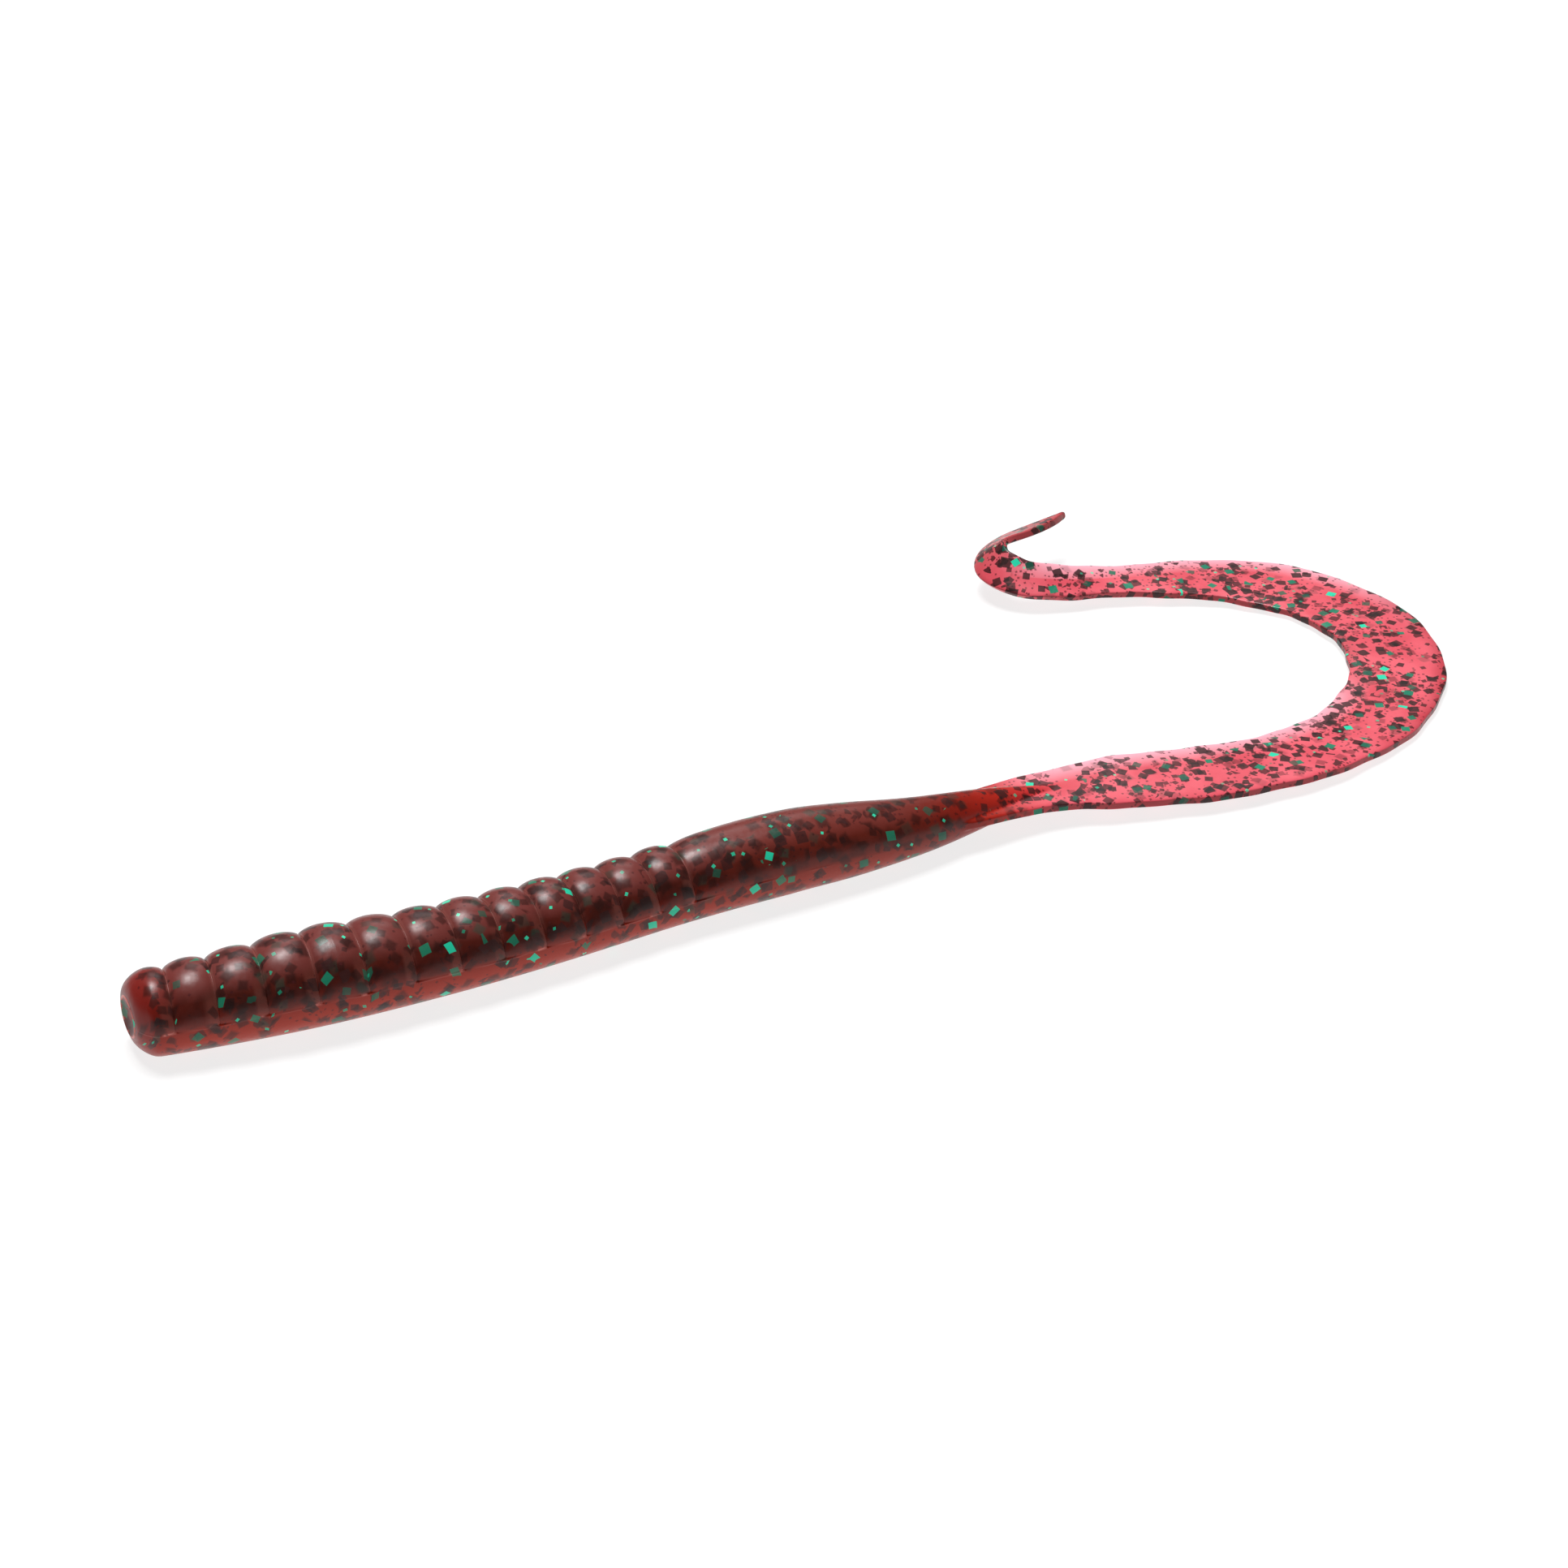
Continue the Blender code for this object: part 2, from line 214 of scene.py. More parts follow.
def bead_heights(s):
    """How high the beads stand at s: 1 at a bead's crest and 0 in a groove."""
    height = np.ones_like(s)
    for start, end in zip(STARTS[1 : RING_COUNT + 1], STARTS[2 : RING_COUNT + 2]):
        inside = (s >= start) & (s <= end)
        t = (s - start) / (end - start)
        bead = np.sqrt(np.clip(1 - (2 * t - 1) ** 2, 0, 1))
        height = np.where(inside, 0.9 * bead + 0.1 * bead**3, height)
    head = (s > HEAD_LENGTH * 0.45) & (s < HEAD_LENGTH)
    t = (s / HEAD_LENGTH - 0.45) / 0.55
    height = np.where(head, np.sqrt(np.clip(1 - t**2, 0, 1)), height)
    rising = s > RINGS_END
    t = np.clip((s - RINGS_END) / COLLAR_RISE, 0, 1)
    return np.where(rising, COLLAR_CREST * np.sqrt(1 - (1 - t) ** 2), height)


def section_points(s, share=None):
    """(left, up) of every column at each s, in mm."""
    s = np.atleast_1d(np.asarray(s, float))[:, None]
    angle = ANGLES[None, :]
    radius = smooth_values(BODY_RADII, s)
    cosine, sine = np.cos(angle), np.sin(angle)

    # body: a smooth lower half, and beads above the parting line
    upper = smooth_step(-0.004, 0.012, sine)
    depth = smooth_step(0.0, 0.62, sine) * 0.72 + 0.28
    beads = smooth_step(RINGS_END + BEADS_FADE_TO, RINGS_END + BEADS_FADE_FROM, s)
    lump = CREST_RISE - GROOVE_DEPTH * (1 - bead_heights(s)) * depth
    lump = lump * (s < RINGS_END + BEADS_FADE_TO) * np.where(s > RINGS_END + BEADS_FADE_FROM, beads, 1.0)
    ledge = -LEDGE_DEPTH * smooth_step(0.16, 0.0, sine) * upper * smooth_step(RINGS_END + 12, RINGS_END, s)
    flash = FLASH_HEIGHT * np.exp(-((np.degrees(np.arcsin(sine)) / 0.9) ** 2))
    flash = flash * smooth_step(-0.25, 0.5, wander(s * 1.7, 0.4)) * smooth_step(RIBBON_START, 60, s)
    circle = radius + (lump + ledge) * upper + flash

    # ribbon: a flat strip with rounded edges, which the stem runs out on
    along = np.clip((s - ROOT_END) / (WORM_LENGTH - ROOT_END), 0, 1)
    half_thickness = RIBBON_HALF_THICKNESS + (TIP_HALF_THICKNESS - RIBBON_HALF_THICKNESS) * along**3
    half_width = smooth_values(RIBBON_HALF_WIDTHS, s)
    fade = smooth_step(RIBBON_START + 2, ROOT_END + 6, s) * smooth_step(WORM_LENGTH, 215, s)
    edge = np.where(cosine > 0, wander(s, 1.0), wander(s, 2.6))
    half_width = half_width + EDGE_WAVINESS * edge * fade
    is_ribbon = s > RIBBON_START
    wide = np.where(is_ribbon, np.maximum(radius, half_width), radius)
    tall = np.where(is_ribbon, np.maximum(radius, half_thickness), radius)
    x, y = wide * cosine, tall * sine
    length = np.sqrt(x * x + y * y)
    x, y = x / length, y / length
    strip = np.abs(x / half_width) ** STRIP_SQUARENESS + np.abs(y / half_thickness) ** STRIP_SQUARENESS
    strip = strip ** (-1 / STRIP_SQUARENESS)
    both = (circle**JOIN_SHARPNESS + strip**JOIN_SHARPNESS) ** (1 / JOIN_SHARPNESS)
    cone_gone = smooth_step(99.5, 102.5, s)
    both = both * (1 - cone_gone) + strip * cone_gone
    emerge = smooth_step(RIBBON_START, RIBBON_START + 1.5, s)
    reach = circle * (1 - emerge) + both * emerge
    if share is not None:
        reach = reach * np.asarray(share)[:, None]
    left, up = reach * x, reach * y
    floor = -axis_height(s) + 0.01
    return left, np.where(s < COLLAR_END + 6, np.maximum(up, floor), up)


def nose_profile():
    """(distance from the nose, share of the section) of the rows of the nose, from its middle."""
    radius = float(smooth_values(BODY_RADII, 0.0))
    rows = [(NOSE_DISH_DEPTH * (1 - t**2.2), NOSE_FACE_RADIUS * 0.92 * t / radius)
            for t in (0.12, 0.3, 0.5, 0.68, 0.82, 0.93, 1.0)]
    lip = [(-0.02, 0.955), (-0.09, 0.98), (-0.10, 1.01), (-0.04, 1.045)]
    rows += [(forward, NOSE_FACE_RADIUS * share / radius) for forward, share in lip]
    first = NOSE_FACE_RADIUS * 1.08 / radius
    for k in range(0, 15):
        turn = k / 15 * math.pi / 2
        rows.append((NOSE_ROUNDING * (1 - math.cos(turn)), first + (1 - first) * math.sin(turn)))
    return rows


def row_distances():
    """The distance from the nose of every plain row."""
    rows = list(np.arange(NOSE_ROUNDING, HEAD_LENGTH, 0.10)) + [HEAD_LENGTH]
    for start, end in zip(STARTS[1 : RING_COUNT + 1], STARTS[2 : RING_COUNT + 2]):
        t = (1 - np.cos(np.pi * np.arange(1, ROWS_PER_RING + 1) / ROWS_PER_RING)) / 2
        rows += list(start + (end - start) * t)
    rise = 1 - np.cos(np.pi / 2 * np.arange(1, 11) / 10)
    rows += list(RINGS_END + COLLAR_RISE * rise)
    rows += list(np.arange(rows[-1] + PLAIN_STEP, ROOT_END, PLAIN_STEP))
    rows += list(np.arange(rows[-1] + RIBBON_STEP, WORM_LENGTH - 0.1, RIBBON_STEP)) + [WORM_LENGTH]
    rows = np.array(sorted(rows + MIDDLES[1:]))
    keep = np.r_[True, np.diff(rows) > 0.02]
    for middle in MIDDLES[1:]:
        keep[np.searchsorted(rows, middle)] = True
    return rows[keep]


def build_grid():
    """Points of the whole skin: rows from the nose to the tip, and columns round it."""
    nose = nose_profile()
    s = np.array([max(a, 0.0) for a, _ in nose] + list(row_distances()))
    share = np.array([b for _, b in nose] + [1.0] * (len(s) - len(nose)))
    offset = np.array([min(a, 0.0) for a, _ in nose] + [0.0] * (len(s) - len(nose)))
    left, up = section_points(s, share)
    point, ahead, sideways, upward = stations(s)
    grid = (point + ahead * offset[:, None])[:, None, :] + sideways[:, None] * left[..., None]
    grid = grid + upward[:, None] * up[..., None]
    # the nose face is a little askew: its right side is set back
    slant = NOSE_SLANT * smooth_step(NOSE_ROUNDING, 0.0, s)[:, None] * (left - NOSE_ROUNDING)
    grid = grid - ahead[:, None] * slant[..., None]
    # the ribbon's end is rounded off
    ends = [(0.22, 0.8), (0.36, 0.5), (0.42, 0.15)]
    tip = [grid[-1] * b + point[-1] * (1 - b) + ahead[-1] * a for a, b in ends]
    grid = np.concatenate([grid, np.array(tip)], 0)
    nothing = np.zeros((len(ends), left.shape[1]))
    lift = np.concatenate([up / smooth_values(BODY_RADII, s)[:, None], nothing])
    side = np.concatenate([left, nothing])
    s = np.r_[s, [WORM_LENGTH] * len(ends)]
    width = smooth_values(RIBBON_HALF_WIDTHS, s)[:, None]
    return s, grid, lift, side, width - np.abs(side)


ROW_S, GRID, LIFT, SIDE, EDGE = build_grid()
ROWS, COLUMNS = GRID.shape[:2]


def grid_normals():
    """A normal for each point, from the faces round it, so that neighbouring pieces shade alike."""
    a, b = GRID[:-1], GRID[1:]
    an, bn = np.roll(a, -1, 1), np.roll(b, -1, 1)
    face = np.cross(bn - a, b - an)
    normal = np.zeros_like(GRID)
    normal[:-1] += face
    normal[1:] += face
    normal[:-1] += np.roll(face, 1, 1)
    normal[1:] += np.roll(face, 1, 1)
    return normal / np.maximum(np.linalg.norm(normal, axis=2), 1e-12)[..., None]


NORMALS = grid_normals()


def flake_coordinates():
    """Where each point is on the unrolled skin, in mm: round it from the top, and along it."""
    step = np.linalg.norm(np.diff(GRID, axis=1, append=GRID[:, :1]), axis=2)
    round_it = np.concatenate([np.zeros((ROWS, 1)), np.cumsum(step, 1)], 1)
    top = int(np.argmin(np.abs(ANGLES - math.pi / 2)))
    return round_it - round_it[:, top : top + 1]


ROUND_IT = flake_coordinates()
NOSE_FACE_ROWS = 11  # the rows of the nose's dish and its lip


def row_stretch():
    """How much longer the skin is along each column than along the axis."""
    step = np.linalg.norm(np.diff(GRID, axis=0), axis=2)
    along = np.maximum(np.diff(ROW_S), 0.02)[:, None]
    ratio = np.clip(step / along, 0.3, 3.0)
    ratio = np.concatenate([ratio[:1], (ratio[1:] + ratio[:-1]) / 2, ratio[-1:]])
    ratio[:NOSE_FACE_ROWS] = 1.0
    return ratio


STRETCH = row_stretch()


def painted_groove_highlights():
    """Painted highlight: a thin pale line in each groove, fading out down the flanks."""
    grooves = np.array(STARTS[1 : RING_COUNT + 2])
    near = np.abs(ROW_S[:, None] - grooves[None, :]).min(1)
    return np.exp(-((near / 0.16) ** 2))[:, None] * smooth_step(0.25, 0.8, LIFT)


GROOVE_HIGHLIGHT = painted_groove_highlights()


def painted_reflection_bands():
    """Painted reflection of the lamp: a lighter stripe down the flank beside each groove, from the groove to
    the parting line.
    """
    across = np.zeros_like(ROW_S)
    for start in STARTS[1 : RING_COUNT + 2]:
        rise = smooth_step(start - 1.25, start - 1.0, ROW_S)
        fall = smooth_step(start + 0.03, start - 0.03, ROW_S)
        across = np.maximum(across, rise * fall)
    return across[:, None] * smooth_step(0.0, 0.05, LIFT) * smooth_step(0.82, 0.45, LIFT)


def flash_marks():
    """Short pale marks along the parting line, one near the foot of each ring, and on the nose's lip."""
    mark = np.zeros_like(LIFT)
    for i, start in enumerate(STARTS[1 : RING_COUNT + 2]):
        length = 0.5 + 0.4 * math.sin(2.3 * i + 0.8)
        along = smooth_step(length, length * 0.6, np.abs(ROW_S - start + 0.6))
        mark = np.maximum(mark, along[:, None] * np.exp(-(((LIFT - 0.012) / 0.022) ** 2)))
    mark[NOSE_FACE_ROWS - 4 : NOSE_FACE_ROWS] = 0.75  # the lip
    return mark


def painted_rim_light_edges():
    """Painted rim light: a pale strip along one edge of the ribbon, its left as far as the bend and its
    right after it.
    """
    before, after = smooth_step(154, 138, ROW_S)[:, None], smooth_step(160, 176, ROW_S)[:, None]
    depth = np.clip(1 - EDGE / 3.2, 0, 1) ** 1.1
    stretch_of_ribbon = smooth_step(90, 106, ROW_S) * smooth_step(213, 204, ROW_S)
    return depth * np.where(SIDE > 0, before, after) * stretch_of_ribbon[:, None]


def painted_bend_edge_shade():
    """Painted shade on the strip's edges round the bend, which are drawn darker than the rest."""
    round_bend = smooth_step(132, 148, ROW_S) * smooth_step(176, 164, ROW_S)
    inside = smooth_step(150, 156, ROW_S) * smooth_step(172, 166, ROW_S)
    depth = np.clip(1 - EDGE / 1.8, 0, 1)
    return depth * np.where(SIDE > 0, 0.45 * inside[:, None], 0.60 * round_bend[:, None])


def flanges():
    """Where the flat strip stands out on each side of the stem's cone."""
    out = np.abs(SIDE) - 0.85 * smooth_values(BODY_RADII, ROW_S)[:, None]
    return smooth_step(-0.1, 0.4, out) * smooth_step(RIBBON_START, 92, ROW_S)[:, None]


REFLECTION_BAND = painted_reflection_bands()
FLASH = flash_marks()
RIM_LIGHT = painted_rim_light_edges()
FLANGE = flanges()
# painted shade: the strip's side walls, and its edges round the bend, are drawn darker
WALL_SHADE = np.maximum(np.clip(1 - np.abs(NORMALS[..., 2]) * 1.3, 0, 1) * (EDGE < 0.6), painted_bend_edge_shade())


def skin_piece(name, first, last, cap_start=False, cap_end=False):
    """The part of the skin between two rows, as an object."""
    rows = np.arange(first, last + 1)
    count = len(rows)
    verts = GRID[rows].reshape(-1, 3) * MM
    i, j = np.meshgrid(np.arange(count - 1), np.arange(COLUMNS), indexing="ij")
    jn = (j + 1) % COLUMNS
    faces = np.stack([i * COLUMNS + j, i * COLUMNS + jn, (i + 1) * COLUMNS + jn, (i + 1) * COLUMNS + j], -1)
    faces = faces.reshape(-1, 4)
    u_low, u_high = ROUND_IT[rows][:, :-1], ROUND_IT[rows][:, 1:]
    v = np.repeat(ROW_S[rows][:, None], COLUMNS, 1)
    corner = np.stack([
        np.stack([u_low[:-1], v[:-1]], -1), np.stack([u_high[:-1], v[:-1]], -1),
        np.stack([u_high[1:], v[1:]], -1), np.stack([u_low[1:], v[1:]], -1),
    ], 2)
    for row in range(max(0, NOSE_FACE_ROWS - first)):
        pair = slice(first + row, first + row + 2)
        u, w = SIDE[pair], LIFT[pair] * BODY_RADII[0][1] + NOSE_FLAKES_ALONG
        un, wn = np.roll(u, -1, 1), np.roll(w, -1, 1)
        corner[row] = np.stack([
            np.stack([u[0], w[0]], -1), np.stack([un[0], wn[0]], -1),
            np.stack([un[1], wn[1]], -1), np.stack([u[1], w[1]], -1),
        ], 1)
    faces, corner = [tuple(f) for f in faces.tolist()], corner.reshape(-1, 2)
    if cap_start:
        faces.append(tuple(range(COLUMNS))[::-1])
        middle = np.stack([SIDE[first], LIFT[first] * BODY_RADII[0][1] + NOSE_FLAKES_ALONG], 1)
        corner = np.concatenate([corner, middle[::-1]])
    if cap_end:
        low = (count - 1) * COLUMNS
        faces.append(tuple(range(low, low + COLUMNS)))
        corner = np.concatenate([corner, np.stack([ROUND_IT[last, :-1], ROW_S[last] + 0 * SIDE[last]], 1)])
    mesh = bpy.data.meshes.new(name)
    mesh.from_pydata(verts.tolist(), [], faces)
    layer = mesh.uv_layers.new(name="skin")
    layer.data.foreach_set("uv", corner.astype(np.float32).ravel())
    along = np.repeat(ROW_S[:, None], COLUMNS, 1)
    marks = {"lift": LIFT, "along": along, "groove": GROOVE_HIGHLIGHT, "stretch": STRETCH, "wall_shade": WALL_SHADE,
             "reflection_band": REFLECTION_BAND, "flash": FLASH, "thin": RIM_LIGHT, "flange": FLANGE}
    for label, values in marks.items():
        attribute = mesh.attributes.new(label, "FLOAT", "POINT")
        attribute.data.foreach_set("value", values[rows].astype(np.float32).ravel())
    mesh.polygons.foreach_set("use_smooth", [True] * len(mesh.polygons))
    mesh.normals_split_custom_set_from_vertices(NORMALS[rows].reshape(-1, 3).tolist())
    mesh.validate()
    piece = bpy.data.objects.new(name, mesh)
    bpy.context.scene.collection.objects.link(piece)
    return piece


# ---------------------------------------------------------------- the gel
def rgb(code):
    """A colour of six hex digits, as the shader wants it."""
    values = [int(code[i : i + 2], 16) / 255 for i in (0, 2, 4)]
    return tuple(v / 12.92 if v <= 0.04045 else ((v + 0.055) / 1.055) ** 2.4 for v in values) + (1.0,)


class Sheet:
    """A material's node tree, with short ways of adding to it."""

    def __init__(self, name):
        self.material = bpy.data.materials.new(name)
        self.material.use_nodes = True
        self.tree = self.material.node_tree
        self.shader = self.tree.nodes["Principled BSDF"]

    def put(self, socket, value):
        if isinstance(value, bpy.types.NodeSocket):
            self.tree.links.new(value, socket)
        else:
            socket.default_value = value

    def node(self, kind, inputs=None, **settings):
        made = self.tree.nodes.new(kind)
        for key, value in settings.items():
            setattr(made, key, value)
        for key, value in (inputs or {}).items():
            self.put(made.inputs[key], value)
        return made

    def math(self, operation, a, b=0.0, clamp=False):
        made = self.node("ShaderNodeMath", {0: a, 1: b}, operation=operation, use_clamp=clamp)
        return made.outputs[0]

    def vector(self, operation, a, b=(0, 0, 0)):
        return self.node("ShaderNodeVectorMath", {0: a, 1: b}, operation=operation).outputs[0]

    def between(self, value, low, high, start=0.0, end=1.0):
        """The value, taken smoothly from start at low to end at high."""
        made = self.node(
            "ShaderNodeMapRange",
            {"Value": value, "From Min": low, "From Max": high, "To Min": start, "To Max": end},
            interpolation_type="SMOOTHSTEP",
        )
        return made.outputs["Result"]

    def mix(self, share, a, b):
        made = self.node("ShaderNodeMix", data_type="RGBA")
        for index, value in ((0, share), (6, a), (7, b)):
            self.put(made.inputs[index], value)
        return made.outputs[2]

    def blend_values(self, share, a, b):
        made = self.node("ShaderNodeMix", data_type="FLOAT")
        for index, value in ((0, share), (2, a), (3, b)):
            self.put(made.inputs[index], value)
        return made.outputs[0]

    def ramp(self, value, stops):
        """Colours along a value; the stops are (place from 0 to 1, colour)."""
        made = self.node("ShaderNodeValToRGB", {"Fac": value})
        elements = made.color_ramp.elements
        while len(elements) < len(stops):
            elements.new(1.0)
        for element, (place, colour) in zip(elements, stops):
            element.position = place
            element.color = colour
        return made.outputs["Color"]

    def attribute(self, name):
        return self.node("ShaderNodeAttribute", attribute_name=name).outputs["Fac"]

    def noise(self, where, scale, detail=2.0):
        made = self.node("ShaderNodeTexNoise", {"Vector": where, "Scale": scale, "Detail": detail})
        return made.outputs["Fac"]


def square_flakes(sheet, where, stretch, spacing, size, presence, shift, softness):
    """Square flakes strewn over the skin: where they are, and a random value for each."""
    moved = sheet.vector("ADD", where, shift)
    cells = sheet.node(
        "ShaderNodeTexVoronoi",
        {"Vector": sheet.vector("DIVIDE", moved, (spacing, spacing, 1)), "Scale": 1.0, "Randomness": 0.92},
        voronoi_dimensions="2D", feature="F1",
    )
    middle = sheet.vector("MULTIPLY", cells.outputs["Position"], (spacing, spacing, 1))
    random = sheet.node("ShaderNodeSeparateColor", {"Color": cells.outputs["Color"]})
    local = sheet.node("ShaderNodeSeparateXYZ", {0: sheet.vector("SUBTRACT", moved, middle)})
    along = sheet.math("MULTIPLY", local.outputs["Y"], stretch)
    flat = sheet.node("ShaderNodeCombineXYZ", {"X": local.outputs["X"], "Y": along}).outputs[0]
    turn = sheet.math("MULTIPLY", random.outputs["Green"], math.pi / 2)
    grown = sheet.between(random.outputs["Green"], 0.0, 1.0, 0.82, 1.10)
    turned = sheet.node("ShaderNodeVectorRotate", {"Vector": flat, "Angle": turn}, rotation_type="Z_AXIS")
    sides = sheet.node("ShaderNodeSeparateXYZ", {0: turned.outputs[0]})
    reach = sheet.math(
        "MAXIMUM", sheet.math("ABSOLUTE", sides.outputs["X"]), sheet.math("ABSOLUTE", sides.outputs["Y"])
    )
    reach = sheet.math("DIVIDE", reach, grown)
    inside = sheet.between(reach, size / 2 - softness / 2, size / 2 + softness / 2, 1.0, 0.0)
    there = sheet.math("LESS_THAN", random.outputs["Red"], presence)
    return sheet.math("MULTIPLY", inside, there), random.outputs["Blue"]


GREEN_FLAKE = "04906e"


def gel_material():
    """Maroon gel with flakes in it, which thins out to coral pink in the tail. It is drawn opaque."""
    sheet = Sheet("worm_gel")
    where = sheet.node("ShaderNodeUVMap", uv_map="skin").outputs["UV"]
    lift, along = sheet.attribute("lift"), sheet.attribute("along")
    groove, stretch, wall_shade = (sheet.attribute(name) for name in ("groove", "stretch", "wall_shade"))
    # the "thin" attribute carries the painted rim light along the ribbon's edge
    reflection_band, flash, rim_light = (sheet.attribute(name) for name in ("reflection_band", "flash", "thin"))
    flange = sheet.attribute("flange")
    uneven = sheet.noise(where, 0.16, 3.0)

    # body: deep red-brown flanks and a browner top, and lighter red below the parting line, which is painted
    # light from the floor glowing up through the gel
    height = sheet.between(sheet.math("ADD", lift, sheet.math("MULTIPLY", uneven, 0.12)), -1.1, 1.1)
    body = sheet.ramp(height, [
        (0.00, rgb("b43a22")), (0.22, rgb("a82c14")), (0.40, rgb("a0260c")), (0.51, rgb("9a240b")),
        (0.60, rgb("7a1a06")), (0.76, rgb("480e04")), (0.89, rgb("50160c")), (1.00, rgb("743632")),
    ])
    body = sheet.mix(sheet.between(along, 57.0, 66.0, 0.0, 0.3), body, rgb("7e2a1c"))
    mottled = sheet.between(sheet.noise(where, 0.42, 2.0), 0.42, 0.62)
    flank = sheet.math("MULTIPLY", sheet.between(lift, 0.0, 0.12), sheet.between(lift, 0.85, 0.55))
    mottling = sheet.math("MULTIPLY", sheet.math("MULTIPLY", mottled, flank), 0.40)
    body = sheet.mix(mottling, body, rgb("1d0602"))
    body = sheet.mix(sheet.between(along, 0.0, 6.0, 0.75, 0.0), body, rgb("861206"))
    # painted reflection of the lamp: a lighter stripe down each flank beside each groove
    body = sheet.mix(sheet.math("MULTIPLY", reflection_band, 0.16), body, rgb("a8655a"))
    # painted highlight: a thin pale line along each groove
    body = sheet.mix(sheet.math("MULTIPLY", groove, 0.45), body, rgb("a8665e"))
    body = sheet.mix(sheet.math("MULTIPLY", flash, 0.8), body, rgb("f08a80"))

    # stem: the red grows lighter as the gel thins
    stem = sheet.ramp(sheet.between(along, 79.0, 104.0), [
        (0.00, rgb("64180a")), (0.35, rgb("8a1a0c")), (0.62, rgb("ae2418")), (0.85, rgb("cc3434")),
        (1.00, rgb("da4c56")),
    ])
    core = sheet.mix(sheet.between(along, 78.0, 90.0), body, stem)

    # ribbon: coral pink, with a painted pale rim light along one edge and painted shade on the walls
    ribbon = sheet.mix(sheet.between(uneven, 0.3, 0.7), rgb("da4c5b"), rgb("ea6371"))
    ribbon = sheet.mix(rim_light, ribbon, rgb("ffb9c8"))
    # painted shade on the strip's walls
    ribbon = sheet.mix(sheet.math("MULTIPLY", wall_shade, 0.85), ribbon, rgb("9a2c30"))
    # painted shade: the tip's last stretch, where the strip is turned on its edge, is drawn darker brown
    ribbon = sheet.mix(sheet.between(along, 210.0, 216.0, 0.0, 0.55), ribbon, rgb("94443f"))
    flat = sheet.math("MULTIPLY", flange, sheet.between(along, 92.0, 102.0))
    flat = sheet.math("MAXIMUM", flat, sheet.between(along, 100.0, 105.0))
    colour = sheet.mix(flat, core, ribbon)
    thin = sheet.between(along, 84.0, 102.0)

    layers = (
        # spacing, size, share present in body and tail, shift, softness, strength in body and tail, colours
        (2.3, 1.10, 0.85, 0.25, (3.1, 7.7, 0), 0.45, 0.66, 0.30, "120503", "300f0a"),
        (3.1, 1.05, 0.55, 0.25, (9.4, 1.3, 0), 0.40, 0.50, 0.35, "0a2a22", "15463a"),
        (1.9, 0.95, 0.50, 0.28, (4.4, 6.1, 0), 0.20, 0.66, 0.50, "150605", "30110d"),
        (0.62, 0.24, 0.20, 0.50, (5.2, 2.9, 0), 0.07, 0.60, 0.72, "180808", "501a1e"),
        (1.25, 0.56, 0.13, 0.44, (7.3, 5.6, 0), 0.08, 0.65, 0.86, "180c0c", "44201f"),
        (1.75, 1.00, 0.13, 0.46, (0.0, 0.0, 0), 0.09, 0.68, 0.92, "140c0c", "3c1e1e"),
        (2.25, 1.12, 0.16, 0.55, (1.7, 8.8, 0), 0.09, 0.70, 0.93, "140c0c", "301c1c"),
        (3.0, 0.92, 0.40, 0.62, (2.2, 4.1, 0), 0.07, 0.80, 0.97, "005040", GREEN_FLAKE),
        (1.9, 0.34, 0.26, 0.14, (6.6, 0.4, 0), 0.06, 0.88, 0.75, "0a8466", "38e8b8"),
    )
    crowded = sheet.between(sheet.noise(where, 0.23, 1.0), 0.33, 0.67, 0.45, 1.6)
    # fewer flakes under the painted rim light
    spread = sheet.between(rim_light, 0.2, 0.9, 1.0, 0.35)
    for spacing, size, few, many, shift, softness, faint, strong, dark, light in layers:
        presence = sheet.blend_values(thin, few, many)
        presence = sheet.math("MULTIPLY", presence, sheet.math("MULTIPLY", crowded, spread))
        flake, tint = square_flakes(sheet, where, stretch, spacing, size, presence, shift, softness)
        strength = sheet.blend_values(thin, faint, strong)
        share = sheet.math("MULTIPLY", sheet.math("MULTIPLY", flake, strength),
                           sheet.between(tint, 0.0, 0.6, 0.86, 1.0))
        colour = sheet.mix(share, colour, sheet.mix(tint, rgb(dark), rgb(light)))
        # painted glints: a share of the green flakes is drawn bright mint
        if light == GREEN_FLAKE:
            glint = sheet.math("MULTIPLY", share, sheet.math("GREATER_THAN", tint, 0.84))
            colour = sheet.mix(glint, colour, rgb("24d8ac"))

    fine = sheet.noise(where, 1.9, 3.0)
    coarse = sheet.noise(where, 0.55, 2.0)
    relief = sheet.math("ADD", sheet.math("MULTIPLY", coarse, 0.7), sheet.math("MULTIPLY", fine, 0.18))
    bump = sheet.node("ShaderNodeBump", {"Strength": 0.35, "Distance": 0.00012, "Height": relief})
    sheet.put(sheet.shader.inputs["Normal"], bump.outputs["Normal"])
    sheet.put(sheet.shader.inputs["Base Color"], colour)
    sheet.put(sheet.shader.inputs["Roughness"], sheet.between(fine, 0.3, 0.7, 0.28, 0.37))
    sheet.shader.inputs["IOR"].default_value = 1.5
    sheet.shader.inputs["Specular IOR Level"].default_value = 0.30
    return sheet.material


# ---------------------------------------------------------------- putting it together
def row_at(s):
    """The row nearest to that distance from the nose."""
    return int(np.argmin(np.abs(ROW_S[:-3] - s)))


def limits_of_bend(s, first, last, reach):
    """Where the skin starts and stops bending about a joint, so that both end rows stay put."""
    (before, middle, after), _, _, _ = stations([s - 3.0, s, s + 3.0])
    way = (after - before) / np.linalg.norm(after - before)
    low = float(((GRID[first] - middle) @ way).max()) + 0.05
    high = float(((GRID[last] - middle) @ way).min()) - 0.05
    low, high = max(low, -reach), min(high, reach)
    return tuple((middle + way * low) * MM), tuple((middle + way * high) * MM)


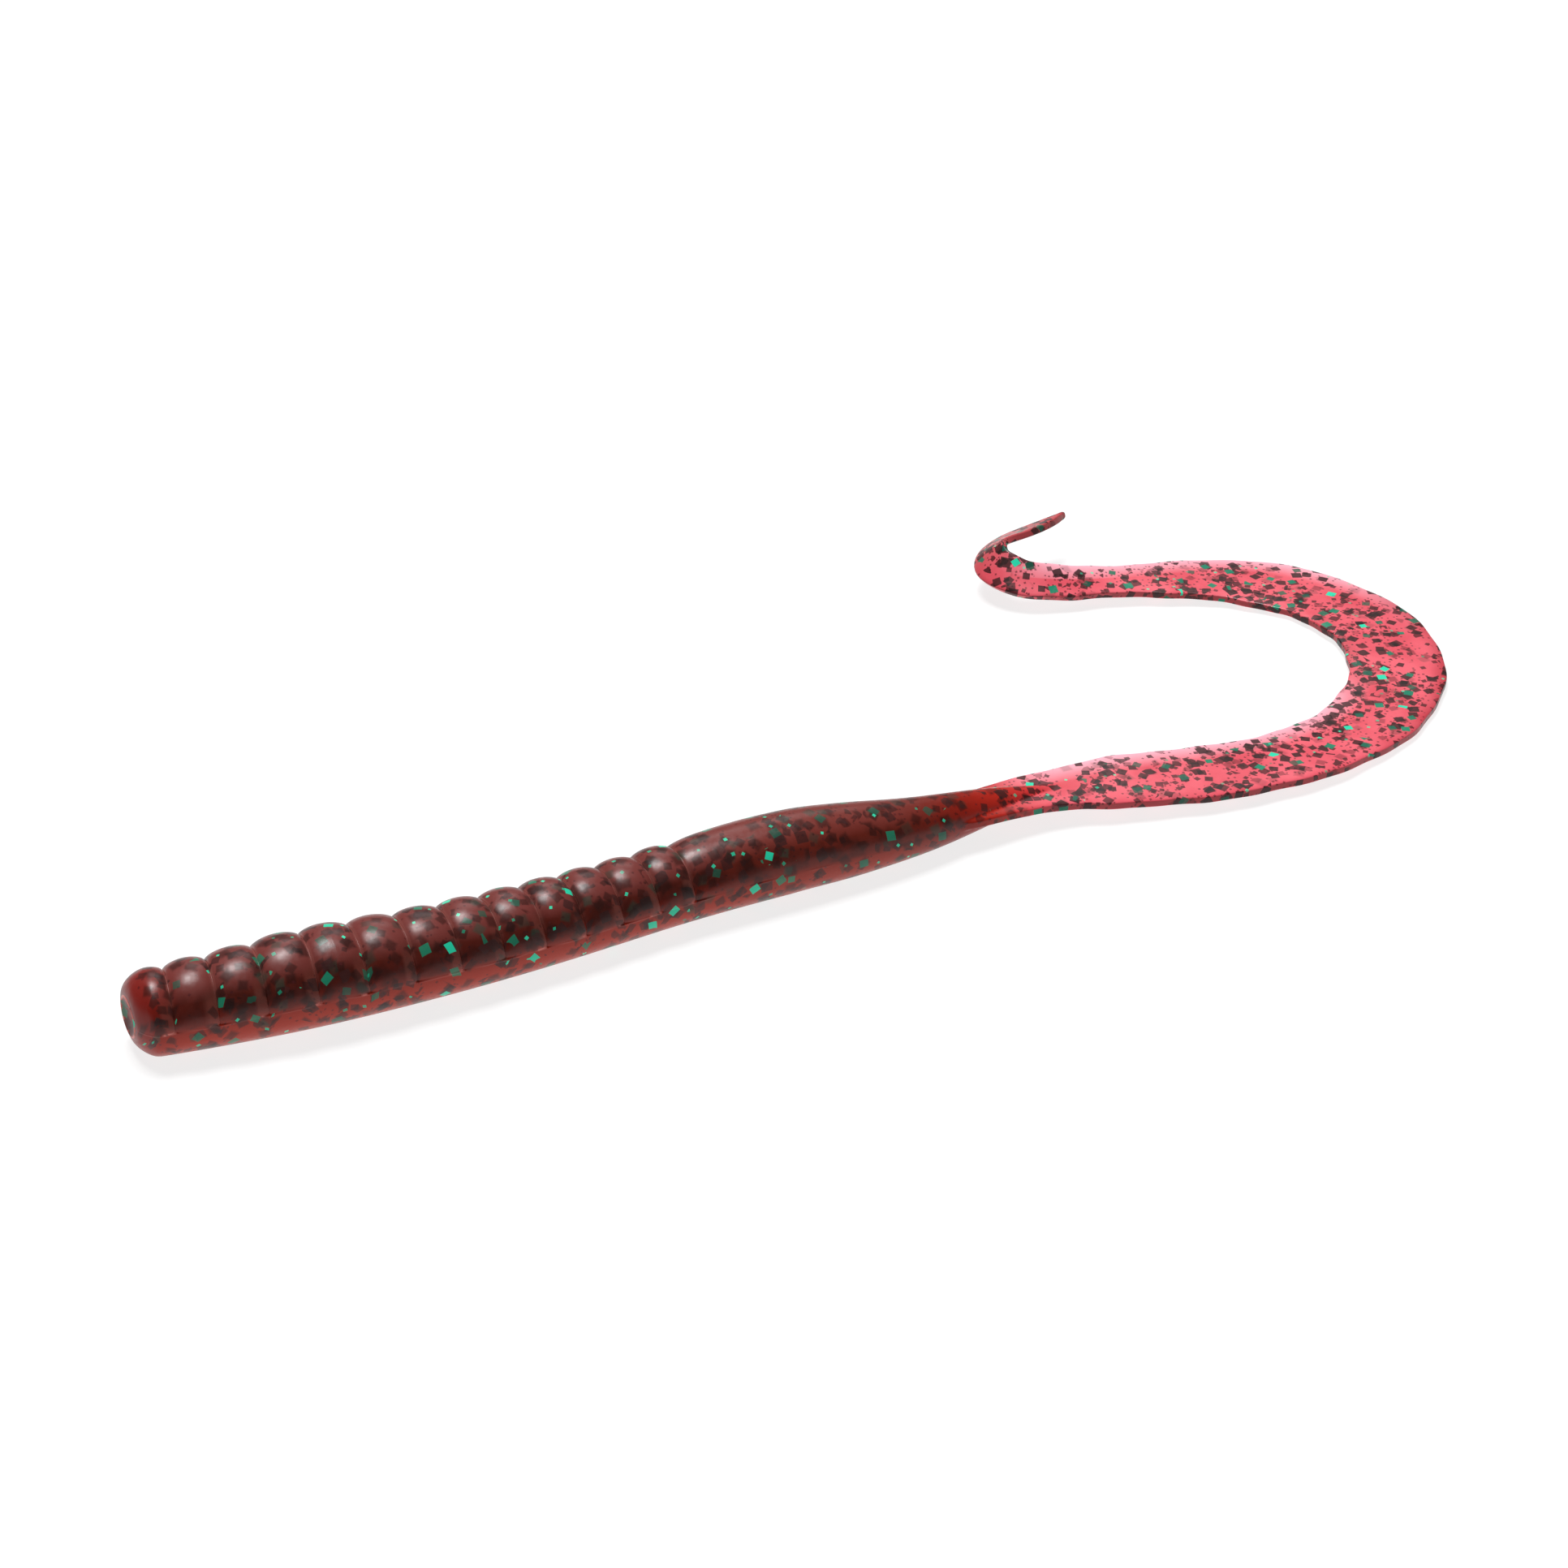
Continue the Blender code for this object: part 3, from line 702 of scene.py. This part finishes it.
# The pieces listed here and the others are baked in place alike; none of them is set to bend.
BENT_FROM_BEHIND = ("stem",)

gel = gel_material()
edges = [row_at(s) for s in MIDDLES]

nose = skin_piece("nose_skin", 0, edges[0], cap_start=True)
nose.data.materials.append(gel)
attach(nose, "head")
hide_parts("head")

for k in range(1, len(SECTION_NAMES)):
    name = SECTION_NAMES[k]
    piece = skin_piece(f"{name}_skin", edges[k - 1], edges[k])
    piece.data.materials.append(gel)
    start, end = limits_of_bend(STARTS[k], edges[k - 1], edges[k], 1.8 if STARTS[k] < COLLAR_MIDDLE else 4.0)
    if name in BENT_FROM_BEHIND:
        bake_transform(piece)
    else:
        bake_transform(piece)
    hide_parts(name)

tip = skin_piece("tip_end_skin", edges[-1], ROWS - 1, cap_end=True)
tip.data.materials.append(gel)
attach(tip, "ribbon_tip")
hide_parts("ribbon_tip")


# ---------------------------------------------------------------- floor, light and camera
def matte(name, code):
    """A plain, faintly speckled white that also glows a little, for the floor."""
    sheet = Sheet(name)
    grain = sheet.node("ShaderNodeTexNoise", {"Scale": 700.0, "Detail": 2.0}).outputs["Fac"]
    speckle = sheet.between(grain, 0.3, 0.7, 0.0, 0.02)
    sheet.put(sheet.shader.inputs["Base Color"], sheet.mix(speckle, rgb(code), rgb("707070")))
    sheet.shader.inputs["Roughness"].default_value = 0.9
    sheet.shader.inputs["Specular IOR Level"].default_value = 0.1
    sheet.shader.inputs["Emission Color"].default_value = (1.0, 1.0, 1.0, 1.0)
    sheet.shader.inputs["Emission Strength"].default_value = 0.80
    return sheet.material


def softbox(name, place, target, size, power):
    """A rectangular lamp at a place, turned to face a target."""
    light = bpy.data.lights.new(name, "AREA")
    light.shape = "RECTANGLE"
    light.size, light.size_y = size
    light.energy = power
    box = bpy.data.objects.new(name, light)
    bpy.context.scene.collection.objects.link(box)
    box.location = place
    way = np.array(target) - np.array(place)
    flat = math.hypot(way[0], way[1])
    box.rotation_euler = (math.atan2(flat, -way[2]), 0.0, math.atan2(-way[0], way[1]))
    return box


bpy.ops.mesh.primitive_plane_add(size=6.0, location=(0, 0, 0))
floor = bpy.context.object
floor.name = "floor"
floor.data.materials.append(matte("floor_white", "818181"))
top_light = softbox("top_softbox", (-0.04, 0.24, 1.20), (0, 0, 0), (0.50, 0.42), 17.5)
back_light = softbox("back_softbox", (0.60, 1.20, 1.10), (0, 0, 0), (0.8, 0.5), 3.0)

world = bpy.context.scene.world or bpy.data.worlds.new("studio")
bpy.context.scene.world = world
world.use_nodes = True
world.node_tree.nodes["Background"].inputs["Color"].default_value = (1.0, 1.0, 1.0, 1.0)
world.node_tree.nodes["Background"].inputs["Strength"].default_value = 0.12

CAMERA_PLACE = (-0.16250, -0.30180, 0.20232)
CAMERA_TURN = 28.38  # degrees right of the +Y direction
CAMERA_DOWN = 30.71
lens = bpy.data.cameras.new("studio_camera")
lens.lens = 85.68
lens.sensor_width = 36.0
lens.clip_start = 0.01
camera = bpy.data.objects.new("studio_camera", lens)
bpy.context.scene.collection.objects.link(camera)
camera.location = CAMERA_PLACE
camera.rotation_euler = (math.radians(90.0 - CAMERA_DOWN), 0.0, -math.radians(CAMERA_TURN))
bpy.context.scene.camera = camera
bpy.context.scene.view_settings.view_transform = "Standard"
